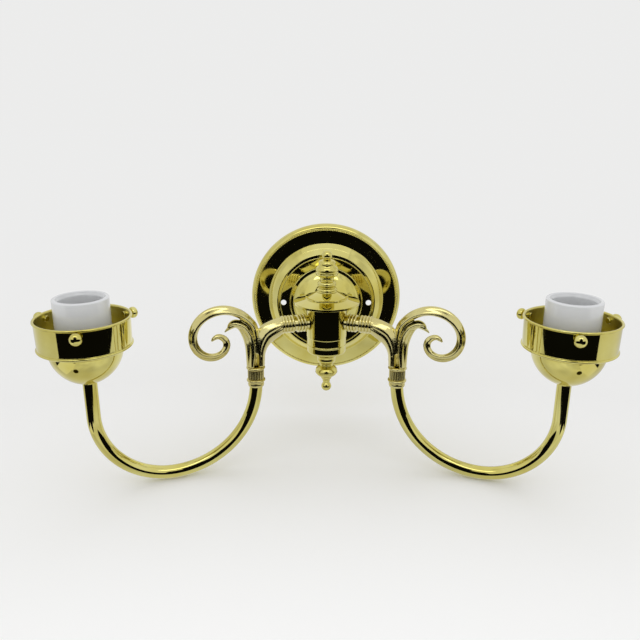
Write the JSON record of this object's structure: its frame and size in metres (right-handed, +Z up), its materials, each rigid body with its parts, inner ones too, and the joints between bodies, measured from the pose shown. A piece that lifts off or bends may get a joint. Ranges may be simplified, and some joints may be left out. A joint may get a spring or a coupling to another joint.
{
  "type": "double arm wall sconce",
  "caption": "Polished brass wall light: bent tube arms with cast scrolls run from a turned hub on a round stepped plate to shade holders with thumb screws and open porcelain lampholders.",
  "frame": {"origin": "on the wall, at the centre of the backplate's rim", "axes": "+X to the right as seen from the room, +Y into the wall, +Z up; the light faces -Y"},
  "size_m": [0.3928, 0.1642, 0.1696],
  "materials": {
    "polished_brass": "polished and lacquered",
    "white_porcelain": "white glaze",
    "zinc_plated_steel": "bright zinc plate",
    "shell_aluminium": "bright, as pressed",
    "contact_brass": "plain, unlacquered"
  },
  "bodies": {
    "sconce": {"arm_casting_left": "polished_brass", "arm_casting_right": "polished_brass", "arm_ferrule_left": "polished_brass", "arm_ferrule_right": "polished_brass", "arm_nipple_left": "zinc_plated_steel", "arm_nipple_right": "zinc_plated_steel", "arm_nut_left": "zinc_plated_steel", "arm_nut_right": "zinc_plated_steel", "arm_tube_left": "polished_brass", "arm_tube_right": "polished_brass", "backplate": "polished_brass", "bottom_check_ring": "polished_brass", "bottom_finial": "polished_brass", "center_contact_left": "contact_brass", "center_contact_right": "contact_brass", "contact_rivet_left": "contact_brass", "contact_rivet_right": "contact_brass", "cup_nut_left": "zinc_plated_steel", "cup_nut_right": "zinc_plated_steel", "cup_seat_left": "polished_brass", "cup_seat_right": "polished_brass", "hub_body": "polished_brass", "hub_cap": "polished_brass", "hub_rod": "zinc_plated_steel", "screw_shell_left": "shell_aluminium", "screw_shell_right": "shell_aluminium", "shade_holder_left": "polished_brass", "shade_holder_right": "polished_brass", "socket_body_left": "white_porcelain", "socket_body_right": "white_porcelain", "socket_bracket_left": "zinc_plated_steel", "socket_bracket_right": "zinc_plated_steel", "socket_screws_left": "zinc_plated_steel", "socket_screws_right": "zinc_plated_steel", "stem": "polished_brass", "stem_back_nut": "zinc_plated_steel", "stem_back_washer": "zinc_plated_steel", "stem_hub_nut": "zinc_plated_steel", "stem_nipple": "zinc_plated_steel", "terminal_screws_left": "contact_brass", "terminal_screws_right": "contact_brass", "top_finial": "polished_brass"},
    "thumb_screw_outer_right": {"thumb_screw_outer_right": "polished_brass"},
    "thumb_screw_rear_right": {"thumb_screw_rear_right": "polished_brass"},
    "thumb_screw_front_right": {"thumb_screw_front_right": "polished_brass"},
    "thumb_screw_outer_left": {"thumb_screw_outer_left": "polished_brass"},
    "thumb_screw_rear_left": {"thumb_screw_rear_left": "polished_brass"},
    "thumb_screw_front_left": {"thumb_screw_front_left": "polished_brass"}
  },
  "joints": [
    {"name": "thumb_screw_outer_right_travel", "type": "slide", "parent": "sconce", "child": "thumb_screw_outer_right", "axis": [-0.9537, -0.3007, 0], "range_m": [-0.0015, 0.0022]},
    {"name": "thumb_screw_rear_right_travel", "type": "slide", "parent": "sconce", "child": "thumb_screw_rear_right", "axis": [0.7373, -0.6756, 0], "range_m": [-0.0015, 0.0022]},
    {"name": "thumb_screw_front_right_travel", "type": "slide", "parent": "sconce", "child": "thumb_screw_front_right", "axis": [0.2164, 0.9763, 0], "range_m": [-0.0015, 0.0022]},
    {"name": "thumb_screw_outer_left_travel", "type": "slide", "parent": "sconce", "child": "thumb_screw_outer_left", "axis": [0.9537, -0.3007, 0], "range_m": [-0.0015, 0.0022]},
    {"name": "thumb_screw_rear_left_travel", "type": "slide", "parent": "sconce", "child": "thumb_screw_rear_left", "axis": [-0.7373, -0.6756, 0], "range_m": [-0.0015, 0.0022]},
    {"name": "thumb_screw_front_left_travel", "type": "slide", "parent": "sconce", "child": "thumb_screw_front_left", "axis": [-0.2164, 0.9763, 0], "range_m": [-0.0015, 0.0022]}
  ]
}
